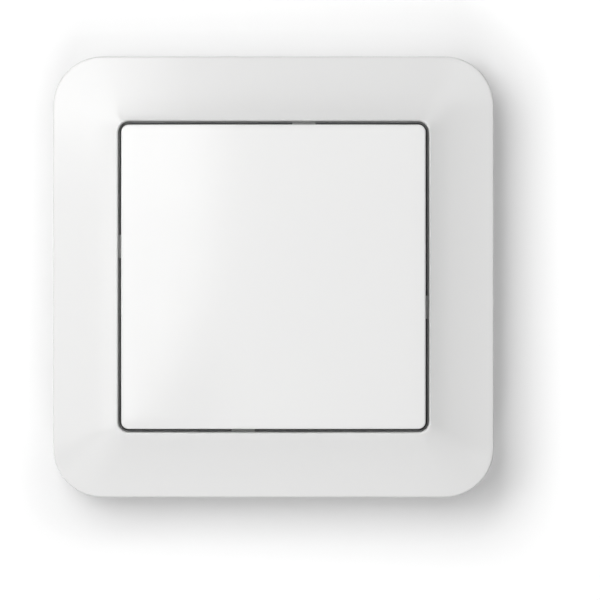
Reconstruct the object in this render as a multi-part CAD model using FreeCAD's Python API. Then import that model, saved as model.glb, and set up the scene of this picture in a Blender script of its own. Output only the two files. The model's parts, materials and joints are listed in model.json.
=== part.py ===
import FreeCAD, Part
import math
import os
from FreeCAD import Vector

# Wireless remote wall switch: a square cover frame with a dished face, one large rocker that
# tilts about its middle, and behind them a battery transmitter module held by a wall plate.
# The switch is drawn in plan, as it would lie on a drawing board: x runs to the right, y runs
# up the wall and z runs out of the wall towards the user. stand_up() then turns every piece
# so that the wall is the plane y = 0, the face looks along -y and z points up.
# The origin is the middle of the screw pattern, on the wall. All sizes are in millimetres.

# Cover frame
frame_border = 11.95
frame_corner_radius = 9.0
frame_wall = 1.6
frame_off_wall = 0.3
frame_slope_fall = 2.4
frame_dish_fall = 1.2
dish_power = 3
dish_steps = 4
rim_edge_chamfer = 0.4
crest_edge_chamfer = 0.4
aperture_side = 56.1
aperture_corner_radius = 1.9
skirt_wall = 1.25
ledge_width = 2.0
ledge_thickness = 1.2
frame_rib_thickness = 1.0
rib_plate_play = 0.25
frame_rib_places = (-18.0, 18.0)

# Catch lugs of the frame, one on each side of the opening, set off the middle the same way round
lug_offset = 5.5
lug_width = 4.2
lug_reach = 0.4
lug_height = 0.75
lug_play = 0.05

# Rocker
rocker_gap = 0.55
rocker_proud = 1.0
rocker_crown = 0.6
rocker_wall = 1.6
rocker_skirt_wall = 1.4
rocker_skirt_depth = 2.9
rocker_edge_radius = 0.5
rocker_tilt = 2.2
tilt_clearance = 0.25
rocker_rib_thickness = 1.0
rocker_rib_lift = 0.7
cross_rib_place = 9.0

# Rocker pivot: stub axles on posts of the carrier, and open clips on the rocker
stub_radius = 1.1
stub_length = 4.0
post_rib_inset = 7.5
post_thickness = 2.0
post_half_width = 2.2
pivot_rise = 1.5
pivot_play = 0.05
clip_wall = 1.0
clip_length = 3.0
clip_side_play = 0.5
clip_mouth_angle = 100.0
clip_pocket_depth = 0.5
clip_pocket_play = 0.4

# Key plungers, between the rocker and the contact leaves
plunger_inset = 6.3
plunger_width = 5.0
plunger_length = 3.0
plunger_play = 0.05
plunger_flange = 0.7
plunger_flange_reach = 1.2
plunger_nose = 0.3
plunger_nose_width = 2.4
plunger_nose_length = 1.2
plunger_stop_play = 0.05
guide_collar = 0.6
guide_wall = 1.1
pusher_width = 4.0
pusher_length = 2.0
pusher_tip_radius = 2.0
pusher_play = 0.03

# Contact leaves, stamped from sheet and soldered to the board
leaf_thickness = 0.2
leaf_width = 4.0
leaf_foot = 3.0
leaf_ramp = 4.5
leaf_tip = 5.0
leaf_play = 0.02

# Wall plate
plate_edge_play = 2.9
plate_corner_radius = 5.0
plate_thickness = 2.0
plate_opening_play = 0.5
plate_border_width = 1.0
plate_border_height = 1.0
screw_inset = 4.3
slot_width = 3.6
slot_length = 6.4
pad_length = 14.0
pad_width = 7.0
pad_thickness = 0.6
pad_play = 0.1
pad_place = 16.0
arrow_size = 3.0
arrow_height = 0.3
arrow_place = 9.0

# Rear shell of the module
shell_ledge_play = 0.85
shell_corner_radius = 3.0
shell_wall = 1.3
shell_floor = 1.2
shell_off_wall = 0.4
board_rib_width = 1.2
board_rib_length = 12.0

# Snap hooks of the rear shell, and the lips of the wall plate that they catch
hook_place = 12.0
hook_width = 7.0
hook_slit = 0.8
hook_reach = 0.8
hook_height = 0.5
hook_root = 2.5
lip_play = 0.15
lip_pocket_play = 0.7
lip_side_play = 1.0

# Carrier plate, which closes the module and carries the rocker
carrier_thickness = 1.2
carrier_play = 0.2
carrier_lip_width = 1.0
carrier_lip_height = 0.9
carrier_lip_play = 0.1
stop_size = 3.0
stop_rib_inset = 3.1
stop_end_inset = 2.1
stop_play = 0.08
pairing_hole_radius = 1.7
led_window_play = 0.4

# Tongues of the carrier, which hold the board down and snap into windows of the shell
tongue_place = 14.0
tongue_width = 5.0
tongue_board_play = 0.03
barb_reach = 0.8
barb_height = 0.7
barb_drop = 1.3
window_play = 0.12

# Coin cell and its pocket
cell_radius = 10.0
cell_height = 3.2
cell_recess = 0.6
cell_crimp_width = 1.15
cell_cap_height = 0.35
pocket_play = 0.3
pocket_wall = 1.0
pocket_board_play = 0.3
nose_reach = 0.5
nose_height = 0.5
nose_angle = 14.0
nose_places = (90.0, 210.0, 330.0)
pry_notch_radius = 2.5
spring_gap = 0.4
clip_gap_width = 5.0

# Battery contacts, stamped from sheet
contact_thickness = 0.2
contact_width = 4.0
contact_play = 0.03
clip_foot = 3.4
clip_arm = 2.2
spring_foot = 3.0
spring_ramp = 3.0
spring_tip = 3.2

# Circuit board
board_play = 0.6
board_thickness = 1.0

# Board parts: places are x, y of their middles and sizes are length, width, height
solder = 0.05
radio_place = (-9.5, -5.5)
radio_size = (4.0, 4.0, 0.85)
controller_place = (8.5, -6.5)
controller_size = (5.0, 4.4, 1.0)
controller_leads = 5
lead_pitch = 0.95
lead_width = 0.25
lead_reach = 1.0
lead_thickness = 0.15
crystal_place = (-9.5, -11.0)
crystal_size = (3.2, 2.5, 0.7)
crystal_lid_inset = 0.2
capacitor_place = (9.5, 2.5)
capacitor_size = (3.5, 2.8, 1.8)
capacitor_terminal = 0.5
chip_part_size = (1.6, 0.8, 0.6)
chip_part_places = (
    (-14.0, -3.5), (-14.0, -6.5), (-4.5, -4.0), (3.0, -3.2),
    (3.0, -9.5), (14.5, -6.5), (-4.5, -9.0),
)
led_place = (9.5, 9.0)
led_size = (1.6, 1.0, 0.4)
led_lens_inset = 0.25
led_lens_height = 0.2

# Pairing switch, reached through a hole of the carrier when the rocker is off
pairing_place = (-9.5, 9.0)
pairing_side = 4.5
pairing_base_height = 1.2
pairing_cover = 0.3
pairing_cover_inset = 0.15
pairing_stem_radius = 1.2
pairing_stem_play = 0.05
pairing_stem_recess = 0.3
pairing_travel = 0.25
pairing_flange_side = 3.2
pairing_flange = 0.35

# Antenna, stamped from sheet and stood on the upper edge of the board
antenna_thickness = 0.3
antenna_span = 26.0
antenna_edge = 1.4
antenna_rise = 1.2
antenna_bar = 1.0
antenna_leg_width = 0.8
antenna_leg_gap = 2.0

# Sizes that follow from the ones above, across the switch
frame_side = aperture_side + 2 * frame_border
rocker_side = aperture_side - 2 * rocker_gap
rocker_corner_radius = aperture_corner_radius - rocker_gap
rocker_hollow_side = rocker_side - 2 * rocker_skirt_wall
stop_x = rocker_hollow_side / 2 - stop_rib_inset
stop_y = rocker_hollow_side / 2 - stop_end_inset
post_inner = stop_x - post_rib_inset
post_outer = post_inner + post_thickness
clip_radius = stub_radius + pivot_play + clip_wall
carrier_side = aperture_side - 2 * carrier_play
shell_side = aperture_side - 2 * (ledge_width + shell_ledge_play)
shell_inner_side = shell_side - 2 * shell_wall
board_side = shell_inner_side - 2 * board_play
plunger_offset = board_side / 2 - plunger_inset
cell_cap_radius = cell_radius - cell_crimp_width
plate_side = frame_side - 2 * (frame_wall + plate_edge_play)
plate_opening_side = shell_side + 2 * plate_opening_play
screw_spacing = plate_opening_side + 2 * screw_inset

# Sizes that follow from the ones above, from the wall outwards
tilt_sine = math.sin(math.radians(rocker_tilt))
plunger_travel = plunger_offset * tilt_sine
shell_floor_top = shell_off_wall + shell_floor
cell_rear = shell_off_wall + cell_recess
cell_front = cell_rear + cell_height
board_rear = cell_front + spring_gap
board_front = board_rear + board_thickness
leaf_tip_top = board_front + leaf_thickness + plunger_travel + plunger_stop_play
nose_low = leaf_tip_top + leaf_play
flange_low = nose_low + plunger_nose
flange_top = flange_low + plunger_flange
carrier_rear = flange_top + plunger_travel + plunger_stop_play
carrier_front = carrier_rear + carrier_thickness
collar_top = carrier_front + guide_collar
plunger_top = collar_top + plunger_travel + 2 * plunger_stop_play
pivot_height = carrier_front + pivot_rise
skirt_low = carrier_front + rocker_side / 2 * tilt_sine + tilt_clearance
rib_low = skirt_low + rocker_rib_lift
rocker_edge = skirt_low + rocker_skirt_depth
crest_height = rocker_edge - rocker_proud
rim_height = crest_height - frame_slope_fall - frame_dish_fall
crown_radius = (rocker_side / 2) ** 2 / (2 * rocker_crown)
crown_centre = rocker_edge + rocker_crown - crown_radius

overshoot = 5.0


def move(shape, x=0.0, y=0.0, z=0.0):
    """A copy of the shape, shifted."""
    copy = shape.copy()
    copy.translate(Vector(x, y, z))
    return copy


def turn(shape, angle):
    """A copy of the shape, turned about the middle of the switch, seen from the front."""
    copy = shape.copy()
    copy.rotate(Vector(0, 0, 0), Vector(0, 0, 1), angle)
    return copy


def square_edges(side, radius, height):
    """The edges of a square outline, side after corner; the corners are round or sharp."""
    half = side / 2
    flat = half - radius
    bow = flat + radius * math.sqrt(0.5)
    curves = [Part.LineSegment(Vector(half, -flat, height), Vector(half, flat, height))]
    if radius > 0:
        corner = (Vector(half, flat, height), Vector(bow, bow, height), Vector(flat, half, height))
        curves.append(Part.Arc(*corner))
    return [turn(curve.toShape(), 90 * quarter) for quarter in range(4) for curve in curves]


def square_wire(side, radius, height):
    """A square outline with rounded corners at one height."""
    return Part.Wire(square_edges(side, radius, height))


def square_prism(side, radius, low, high):
    """A square column with rounded corners."""
    face = Part.Face(square_wire(side, radius, low))
    return face.extrude(Vector(0, 0, high - low))


def block(x, y, width, length, low, high):
    """A box by the middle of its plan, its size along x and y, and its two heights."""
    box = Part.makeBox(width, length, high - low)
    return move(box, x - width / 2, y - length / 2, low)


def post(x, y, radius, low, high):
    """A round post that stands along z."""
    return Part.makeCylinder(radius, high - low, Vector(x, y, low))


def bar(x_from, x_to, radius, y, z):
    """A round bar that runs along x."""
    return Part.makeCylinder(radius, x_to - x_from, Vector(x_from, y, z), Vector(1, 0, 0))


def outline_prism(points, start, direction):
    """A flat outline through the points, drawn out from the start by the direction."""
    corners = [start + point for point in points]
    wire = Part.makePolygon(corners + corners[:1])
    return Part.Face(wire).extrude(direction)


def join(shapes):
    """One solid from pieces that touch, with the seams between them removed."""
    whole = shapes[0]
    if len(shapes) > 1:
        whole = whole.fuse(shapes[1:])
    return whole.removeSplitter()


def edges_at(shape, wanted):
    """The edges whose middle passes the test."""
    found = []
    for edge in shape.Edges:
        middle = edge.valueAt((edge.FirstParameter + edge.LastParameter) / 2)
        if wanted(edge, middle):
            found.append(edge)
    return found


def slope_height(share):
    """The height of the frame's face at a share of the way from the opening to the rim."""
    return crest_height - frame_slope_fall * share - frame_dish_fall * (1 - (1 - share) ** dish_power)


def dish_form():
    """The frame's full outside: a square column under a face that sweeps down to the rim."""
    rings = [
        (frame_side, frame_corner_radius, frame_off_wall),
        (frame_side, frame_corner_radius, rim_height - rim_edge_chamfer),
    ]
    for step in range(dish_steps, -1, -1):
        share = step / dish_steps
        side = aperture_side + 2 * (frame_border - rim_edge_chamfer) * share
        radius_gain = frame_corner_radius - rim_edge_chamfer - aperture_corner_radius
        rings.append((side, aperture_corner_radius + radius_gain * share, slope_height(share)))
    return ring_stack(rings)


def dish_core(inset):
    """The frame's outside inset and sunk by a wall, with its corners cut off straight."""
    rings = [(frame_side - 2 * inset, 0, frame_off_wall)]
    for share in (1, 0.5, 0):
        side = aperture_side + 2 * (frame_border - inset) * share
        rings.append((side, 0, slope_height(share) - inset))
    corner_reach = (frame_side / 2 - frame_corner_radius) * math.sqrt(2) + frame_corner_radius - inset
    lozenge = block(0, 0, 2 * corner_reach, 2 * corner_reach, 0, crest_height)
    return ring_stack(rings).common(turn(lozenge, 45))


def ring_stack(rings):
    """A solid through square outlines, one above another, with flat sides and ruled corners."""
    faces = [Part.Face(square_wire(*ring)) for ring in (rings[0], rings[-1])]
    for lower, upper in zip(rings, rings[1:]):
        for edge, over in zip(square_edges(*lower), square_edges(*upper)):
            if isinstance(edge.Curve, Part.Line):
                ends = [edge.Vertexes[0].Point, edge.Vertexes[1].Point]
                ends += [over.Vertexes[1].Point, over.Vertexes[0].Point]
                faces.append(Part.Face(Part.makePolygon(ends + ends[:1])))
            else:
                faces.append(Part.makeRuledSurface(edge, over))
    shell = Part.makeShell(faces)
    shell.sewShape()
    return Part.makeSolid(shell)


def cover_frame():
    """The cover frame: its face sweeps down from the opening to a broken rim edge."""
    shape = dish_form()
    ledge_top = carrier_rear
    opening = square_prism(aperture_side, aperture_corner_radius, ledge_top, crest_height + overshoot)
    shape = shape.cut(opening)

    def at_crest_edge(edge, middle):
        return abs(middle.z - crest_height) < 0.01

    shape = shape.makeChamfer(crest_edge_chamfer, edges_at(shape, at_crest_edge))
    skirt_side = aperture_side + 2 * skirt_wall
    skirt_radius = aperture_corner_radius + skirt_wall
    core = dish_core(frame_wall)
    core = core.cut(square_prism(skirt_side, skirt_radius, 0, crest_height))
    below = square_prism(
        frame_side - 2 * frame_wall, frame_corner_radius - frame_wall, 0, plate_thickness)
    under = square_prism(skirt_side, skirt_radius, 0, ledge_top - ledge_thickness)
    ledge_side = aperture_side - 2 * ledge_width
    ledge_hole = block(0, 0, ledge_side, ledge_side, 0, ledge_top)
    shape = shape.cut([core, below, under, ledge_hole])
    adds = []
    for quarter in range(4):
        adds += [turn(frame_rib(place), 90 * quarter) for place in frame_rib_places]
        adds.append(turn(catch_lug(), -90 * quarter))
    return join([shape] + adds)


def frame_rib(y):
    """A rib on the right side of the frame, between its skirt and its rim."""
    low = plate_thickness + plate_border_height + rib_plate_play
    x_from = (aperture_side + skirt_wall) / 2
    x_to = (frame_side - frame_wall) / 2
    rib = block((x_from + x_to) / 2, y, x_to - x_from, frame_rib_thickness, low, crest_height)
    return rib.common(dish_core(frame_wall / 2))


def catch_lug():
    """The lug on the top side of the opening: it laps over the edge of the carrier."""
    low = carrier_front + lug_play
    wall = aperture_side / 2
    profile = [
        Vector(0, skirt_wall / 2, 0),
        Vector(0, -lug_reach, 0),
        Vector(0, -lug_reach, lug_height / 2),
        Vector(0, 0, lug_height),
        Vector(0, skirt_wall / 2, lug_height),
    ]
    start = Vector(lug_offset - lug_width / 2, wall, low)
    return outline_prism(profile, start, Vector(lug_width, 0, 0))


def rocker():
    """The rocker: a crowned cap with a skirt, stiffening ribs, two pivot clips and two pushers."""
    cap = square_prism(rocker_side, rocker_corner_radius, skirt_low, rocker_edge + overshoot)
    cap = cap.common(crown_roll(0))

    def on_face_edge(edge, middle):
        return middle.z > skirt_low + rocker_skirt_depth / 2 and edge_is_level(edge)

    cap = cap.makeFillet(rocker_edge_radius, edges_at(cap, on_face_edge))
    hollow = block(
        0, 0, rocker_hollow_side, rocker_hollow_side,
        skirt_low - overshoot, rocker_edge + overshoot)
    cap = cap.cut(hollow.common(crown_roll(rocker_wall)))
    root_side = rocker_hollow_side + rocker_skirt_wall
    root = block(0, 0, root_side, root_side, 0, rocker_edge + overshoot)
    root = root.common(crown_roll(rocker_wall / 2))
    details = []
    for side in (-1, 1):
        details.append(rocker_rib(side * stop_x, 0, rocker_rib_thickness, 2 * root_reach(), root))
        details.append(rocker_rib(0, side * cross_rib_place, 2 * stop_x, rocker_rib_thickness, root))
        details.append(pusher(side, root))
        details.append(pivot_clip(side, root))
    return join([cap] + details)


def crown_roll(depth):
    """The great cylinder whose top is the crown of the rocker, or a surface at a depth under it."""
    return bar(-rocker_side, rocker_side, crown_radius - depth, 0, crown_centre)


def root_reach():
    """How far from the middle the rocker's ribs run, so that their ends are inside its skirt."""
    return (rocker_side - rocker_skirt_wall) / 2


def edge_is_level(edge):
    """Whether an edge runs round the face and doesn't stand along a corner."""
    start = edge.valueAt(edge.FirstParameter)
    end = edge.valueAt(edge.LastParameter)
    run = math.hypot(end.x - start.x, end.y - start.y)
    return run > abs(end.z - start.z)


def rocker_rib(x, y, width, length, root):
    """A stiffening rib under the face of the rocker."""
    rib = block(x, y, width, length, rib_low, rocker_edge + overshoot)
    return rib.common(root)


def pusher(side, root):
    """A pusher with a rounded end, which rests on a key plunger."""
    y = side * plunger_offset
    tip = plunger_top + pusher_play
    leg = block(0, y, pusher_width, pusher_length, tip, rocker_edge + overshoot)
    roll = bar(-pusher_width, pusher_width, pusher_tip_radius, y, tip + pusher_tip_radius)
    above = block(
        0, y, 2 * pusher_width, pusher_length, tip + pusher_tip_radius, rocker_edge + overshoot)
    return leg.common(roll.fuse(above)).common(root)


def pivot_clip(side, root):
    """A clip that snaps over a stub axle: a ring on a web, open towards the wall."""
    middle = side * (post_outer + clip_side_play + clip_length / 2)
    x_from = middle - clip_length / 2
    x_to = middle + clip_length / 2
    ring = bar(x_from, x_to, clip_radius, 0, pivot_height)
    web = block(middle, 0, clip_length, 2 * clip_radius, pivot_height, rocker_edge + overshoot)
    clip = ring.fuse(web).common(root)
    eye = bar(x_from - 1, x_to + 1, stub_radius + pivot_play, 0, pivot_height)
    reach = 2 * clip_radius
    spread = reach * math.tan(math.radians(clip_mouth_angle / 2))
    mouth = [Vector(0, 0, 0), Vector(0, spread, -reach), Vector(0, -spread, -reach)]
    start = Vector(x_from - 1, 0, pivot_height)
    wedge = outline_prism(mouth, start, Vector(clip_length + 2, 0, 0))
    return clip.cut([eye, wedge])


def key_plunger(side):
    """A plunger that slides in a guide of the carrier, kept in by its flange."""
    y = side * plunger_offset
    stem = block(0, y, plunger_width, plunger_length, flange_low, plunger_top)
    flange = block(
        0, y, plunger_width + 2 * plunger_flange_reach, plunger_length, flange_low, flange_top)
    nose = block(0, y, plunger_nose_width, plunger_nose_length, nose_low, flange_low)
    return join([stem, flange, nose])


def contact_leaf(side):
    """A sprung contact: its foot is soldered down and its tip holds the plunger up."""
    low = board_front + 0.01
    rise = leaf_tip_top - leaf_thickness
    tip_to = plunger_offset + leaf_tip / 2
    tip_from = tip_to - leaf_tip
    foot_to = tip_from - leaf_ramp
    foot_from = foot_to - leaf_foot
    under = [(foot_from, low), (foot_to, low), (tip_from, rise), (tip_to, rise)]
    over = [(y, z + leaf_thickness) for y, z in reversed(under)]
    profile = [Vector(0, side * y, z) for y, z in under + over]
    return outline_prism(profile, Vector(-leaf_width / 2, 0, 0), Vector(leaf_width, 0, 0))


def wall_plate():
    """The ring that is screwed or stuck to the wall and holds the module and the frame."""
    ring = square_prism(plate_side, plate_corner_radius, 0, plate_thickness)
    border = square_prism(
        plate_side, plate_corner_radius, plate_thickness, plate_thickness + plate_border_height)
    inner = plate_side - 2 * plate_border_width
    inner_radius = plate_corner_radius - plate_border_width
    border = border.cut(square_prism(inner, inner_radius, 0, plate_thickness + overshoot))
    ring = ring.fuse(border)
    opening_radius = shell_corner_radius + plate_opening_play
    cuts = [square_prism(plate_opening_side, opening_radius, -overshoot, plate_thickness + overshoot)]
    for quarter in range(4):
        cuts.append(turn(screw_slot(), 90 * quarter))
    for x, y in pad_places():
        cuts.append(pad_block(x, y, pad_play))
    for x_side in (-1, 1):
        for y_side in (-1, 1):
            cuts.append(lip_pocket(x_side, y_side * hook_place))
    ring = ring.cut(cuts)
    return join([ring, up_arrow()])


def screw_slot():
    """The slot on the right side of the wall plate, which runs along x."""
    reach = (slot_length - slot_width) / 2
    middle = screw_spacing / 2
    slot = block(middle, 0, 2 * reach, slot_width, -overshoot, plate_thickness + overshoot)
    ends = [
        post(middle + end * reach, 0, slot_width / 2, -overshoot, plate_thickness + overshoot)
        for end in (-1, 1)
    ]
    return slot.fuse(ends).removeSplitter()


def lip_pocket(side, y):
    """The pocket in the back of the wall plate, behind the lip that a snap hook catches."""
    inner = plate_opening_side / 2
    reach = hook_reach - plate_opening_play + lip_pocket_play
    depth = shell_off_wall + hook_height + lip_play
    width = hook_width + 2 * lip_side_play
    return block(side * (inner + reach / 2), y, reach, width, -overshoot, depth)


def pad_places():
    """The plan places of the four adhesive pads, on the upper and lower bands of the plate."""
    band = (plate_side + plate_opening_side) / 4
    return [(x, y) for x in (-pad_place, pad_place) for y in (-band, band)]


def pad_block(x, y, play):
    """One adhesive pad, or the recess for it when play is added."""
    return block(x, y, pad_length + 2 * play, pad_width + 2 * play, 0, pad_thickness)


def up_arrow():
    """A plain raised arrow that shows which way up the plate goes."""
    band = (plate_side + plate_opening_side) / 4
    half = arrow_size / 2
    points = [Vector(-half, -half, 0), Vector(half, -half, 0), Vector(0, half, 0)]
    start = Vector(arrow_place, band, plate_thickness)
    return outline_prism(points, start, Vector(0, 0, arrow_height))


def rear_shell():
    """The module's rear shell: floor, walls, cell pocket, board ribs, hooks and windows."""
    shape = square_prism(shell_side, shell_corner_radius, shell_off_wall, carrier_rear)
    inner_radius = shell_corner_radius - shell_wall
    inside = square_prism(shell_inner_side, inner_radius, shell_floor_top, carrier_rear + overshoot)
    shape = shape.cut(inside)
    pocket_radius = cell_radius + pocket_play
    pocket_side = 2 * (pocket_radius + pocket_wall)
    adds = [block(0, 0, pocket_side, pocket_side, shell_off_wall, board_rear - pocket_board_play)]
    for quarter in range(4):
        rib = block(
            shell_inner_side / 2, 0, 2 * board_rib_width, board_rib_length,
            shell_floor_top, board_rear)
        adds.append(turn(rib, 90 * quarter))
    shape = shape.fuse(adds)
    cuts = [post(0, 0, pocket_radius, -overshoot, board_rear + overshoot)]
    clip_gap_x = pocket_radius + pocket_wall / 2
    cuts.append(block(clip_gap_x, 0, 3 * pocket_wall, clip_gap_width, shell_floor_top, board_rear))
    cuts.append(post(0, -pocket_radius, pry_notch_radius, -overshoot, shell_floor_top))
    for x_side in (-1, 1):
        for y_side in (-1, 1):
            cuts += hook_slits(x_side, y_side * hook_place)
            cuts.append(tongue_window(x_side * tongue_place, y_side))
    shape = shape.cut(cuts)
    noses = [cell_nose(angle) for angle in nose_places]
    hooks = [snap_hook(x_side, y_side * hook_place) for x_side in (-1, 1) for y_side in (-1, 1)]
    return join([shape, plus_mark()] + noses + hooks)


def hook_slits(side, y):
    """The two slits in the wall and the gap in the floor that free a hook's tongue."""
    top = carrier_rear - hook_root
    wall = side * (shell_side - shell_wall) / 2
    slits = []
    for edge in (-1, 1):
        slit_y = y + edge * (hook_width + hook_slit) / 2
        slits.append(block(wall, slit_y, 2 * shell_wall, hook_slit, -overshoot, top))
    floor = side * (shell_inner_side - hook_slit) / 2
    slits.append(block(floor, y, hook_slit, hook_width + 2 * hook_slit, -overshoot, shell_floor_top))
    return slits


def tongue_window(x, side):
    """The window in the upper or lower wall of the shell that a tongue's barb snaps into."""
    y = side * (shell_side - shell_wall) / 2
    high = carrier_rear - barb_drop + window_play
    low = high - barb_height - 2 * window_play
    return block(x, y, tongue_width + 2 * window_play, 2 * shell_wall, low, high)


def snap_hook(side, y):
    """The barb at the free end of a tongue of the shell wall."""
    face = shell_side / 2
    low = shell_off_wall
    profile = [
        Vector(-side * shell_wall / 2, 0, hook_height / 4),
        Vector(side * hook_reach / 3, 0, hook_height / 4),
        Vector(side * hook_reach, 0, hook_height / 2),
        Vector(side * hook_reach, 0, hook_height),
        Vector(-side * shell_wall / 2, 0, hook_height),
    ]
    start = Vector(side * face, y - hook_width / 2, low)
    return outline_prism(profile, start, Vector(0, hook_width, 0))


def cell_nose(angle):
    """A small nose at the mouth of the pocket that keeps the coin cell in."""
    outer = cell_radius + pocket_play + pocket_wall / 2
    inner = cell_radius - nose_reach
    wedge = Part.makeCylinder(
        outer, nose_height, Vector(0, 0, shell_off_wall), Vector(0, 0, 1), nose_angle)
    hole = post(0, 0, inner, 0, board_rear)
    return turn(wedge.cut(hole), angle - nose_angle / 2)


def plus_mark():
    """A raised plus beside the pocket, for the cell's upper side."""
    x = -(cell_radius + pocket_play + pocket_wall + 4)
    y = -x * 0.9
    low = shell_off_wall - 0.15
    high = shell_off_wall + 0.1
    return block(x, y, 2.4, 0.7, low, high).fuse(block(x, y, 0.7, 2.4, low, high))


def carrier_plate():
    """The carrier: a plate with pivot posts, plunger guides, travel stops, lip and tongues."""
    plate_radius = aperture_corner_radius - carrier_play
    plate = square_prism(carrier_side, plate_radius, carrier_rear, carrier_front)
    lip_side = shell_inner_side - 2 * carrier_lip_play
    lip_radius = shell_corner_radius - shell_wall - carrier_lip_play
    lip = square_prism(lip_side, lip_radius, carrier_rear - carrier_lip_height, carrier_rear)
    lip_hole = square_prism(lip_side - 2 * carrier_lip_width, lip_radius / 2, 0, carrier_rear)
    adds = [lip.cut(lip_hole)]
    guide = plunger_play + guide_wall
    for side in (-1, 1):
        y = side * plunger_offset
        guide_width = plunger_width + 2 * guide
        guide_length = plunger_length + 2 * guide
        adds.append(block(0, y, guide_width, guide_length, carrier_rear, collar_top))
        for x_side in (-1, 1):
            adds.append(travel_stop(x_side * stop_x, side * stop_y))
            adds.append(board_tongue(x_side * tongue_place, side))
    shape = plate.fuse(adds)
    cuts = [post(*pairing_place, pairing_hole_radius, 0, collar_top)]
    led_width, led_length, led_height = led_size
    window = 2 * led_window_play
    cuts.append(block(*led_place, led_width + window, led_length + window, 0, collar_top))
    for side in (-1, 1):
        hole_width = plunger_width + 2 * plunger_play
        hole_length = plunger_length + 2 * plunger_play
        cuts.append(block(0, side * plunger_offset, hole_width, hole_length, 0, collar_top + overshoot))
        middle = side * (post_outer + clip_side_play + clip_length / 2)
        pocket_width = clip_length + 2 * clip_side_play
        pocket_length = 2 * (clip_radius + clip_pocket_play)
        floor = carrier_front - clip_pocket_depth
        cuts.append(block(middle, 0, pocket_width, pocket_length, floor, carrier_front))
    shape = shape.cut(cuts)
    pivots = [pivot_post(side) for side in (-1, 1)]
    return join([shape] + pivots)


def board_tongue(x, side):
    """A tongue that holds the board down, with a barb for the window in the shell's wall."""
    outer = shell_inner_side / 2 - carrier_lip_play
    inner = outer - carrier_lip_width
    barb_high = carrier_rear - barb_drop
    barb_low = barb_high - barb_height
    profile = [
        (inner, carrier_rear),
        (inner, board_front + tongue_board_play),
        (outer, board_front + tongue_board_play),
        (outer, barb_low),
        (outer + barb_reach, barb_high - barb_height / 3),
        (outer + barb_reach, barb_high),
        (outer, barb_high),
        (outer, carrier_rear),
    ]
    points = [Vector(0, side * y, z) for y, z in profile]
    return outline_prism(points, Vector(x - tongue_width / 2, 0, 0), Vector(tongue_width, 0, 0))


def pivot_post(side):
    """A tapered post and the stub axle that goes through its head to the outside."""
    foot = post_half_width
    low = carrier_front - clip_pocket_depth
    profile = [
        Vector(0, -foot, low),
        Vector(0, foot, low),
        Vector(0, stub_radius, pivot_height),
        Vector(0, -stub_radius, pivot_height),
    ]
    inner_end = side * post_inner
    outer_end = side * (post_outer + stub_length)
    x_from = min(inner_end, side * post_outer)
    body = outline_prism(profile, Vector(x_from, 0, 0), Vector(post_thickness, 0, 0))
    stub = bar(min(inner_end, outer_end), max(inner_end, outer_end), stub_radius, 0, pivot_height)
    return join([body, stub])


def travel_stop(x, y):
    """A pad that a rib of the rocker comes down on at the end of its tilt."""
    high = rib_low - (abs(y) + stop_size / 2) * tilt_sine - stop_play
    return block(x, y, stop_size, stop_size, carrier_rear, high)


def coin_cell():
    """The coin cell, turned as one closed piece: can and raised cap."""
    crimp = cell_front - cell_cap_height
    outline = [
        Vector(0, 0, cell_rear),
        Vector(cell_radius, 0, cell_rear),
        Vector(cell_radius, 0, crimp),
        Vector(cell_cap_radius, 0, crimp),
        Vector(cell_cap_radius, 0, cell_front),
        Vector(0, 0, cell_front),
    ]
    face = Part.Face(Part.makePolygon(outline + outline[:1]))
    return face.revolve(Vector(0, 0, 0), Vector(0, 0, 1), 360)


def battery_positive_clip():
    """A bent strip: its foot is soldered to the board and its arm presses on the side of the can."""
    near = cell_radius + contact_play
    far = near + clip_foot
    top = board_rear - 0.01
    low = top - contact_thickness - clip_arm
    profile = [
        Vector(near, 0, low),
        Vector(near + contact_thickness, 0, low),
        Vector(near + contact_thickness, 0, top - contact_thickness),
        Vector(far, 0, top - contact_thickness),
        Vector(far, 0, top),
        Vector(near, 0, top),
    ]
    strip = outline_prism(profile, Vector(0, -contact_width / 2, 0), Vector(0, contact_width, 0))

    def at_outer_bend(edge, middle):
        return abs(middle.x - near) < 0.01 and abs(middle.z - top) < 0.01

    return strip.makeFillet(contact_thickness, edges_at(strip, at_outer_bend))


def battery_negative_spring():
    """A bent strip under the board that presses on the middle of the cell's cap."""
    top = board_rear - 0.01
    tip_low = cell_front + contact_play
    foot_from = -spring_ramp - spring_foot - spring_tip / 2
    over = [
        (foot_from, top),
        (foot_from + spring_foot, top),
        (-spring_tip / 2, tip_low + contact_thickness),
        (spring_tip / 2, tip_low + contact_thickness),
    ]
    under = [(x, z - contact_thickness) for x, z in reversed(over)]
    profile = [Vector(x, 0, z) for x, z in over + under]
    return outline_prism(profile, Vector(0, -contact_width / 2, 0), Vector(0, contact_width, 0))


def circuit_board():
    """The board, which lies on the ribs of the shell."""
    return block(0, 0, board_side, board_side, board_rear, board_front)


def radio_chip():
    """The radio's flat square package."""
    width, length, height = radio_size
    low = board_front + solder
    return block(*radio_place, width, length, low, low + height)


def controller_chip():
    """The controller: a moulded body with a row of bent leads on each side."""
    width, length, height = controller_size
    x, y = controller_place
    low = board_front + solder
    body = block(x, y, width, length, low + lead_thickness / 2, low + height)
    pieces = [body]
    for number in range(controller_leads):
        lead_x = x + (number - (controller_leads - 1) / 2) * lead_pitch
        for side in (-1, 1):
            pieces.append(bent_lead(lead_x, y + side * length / 2, side, low, height))
    return join(pieces)


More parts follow.
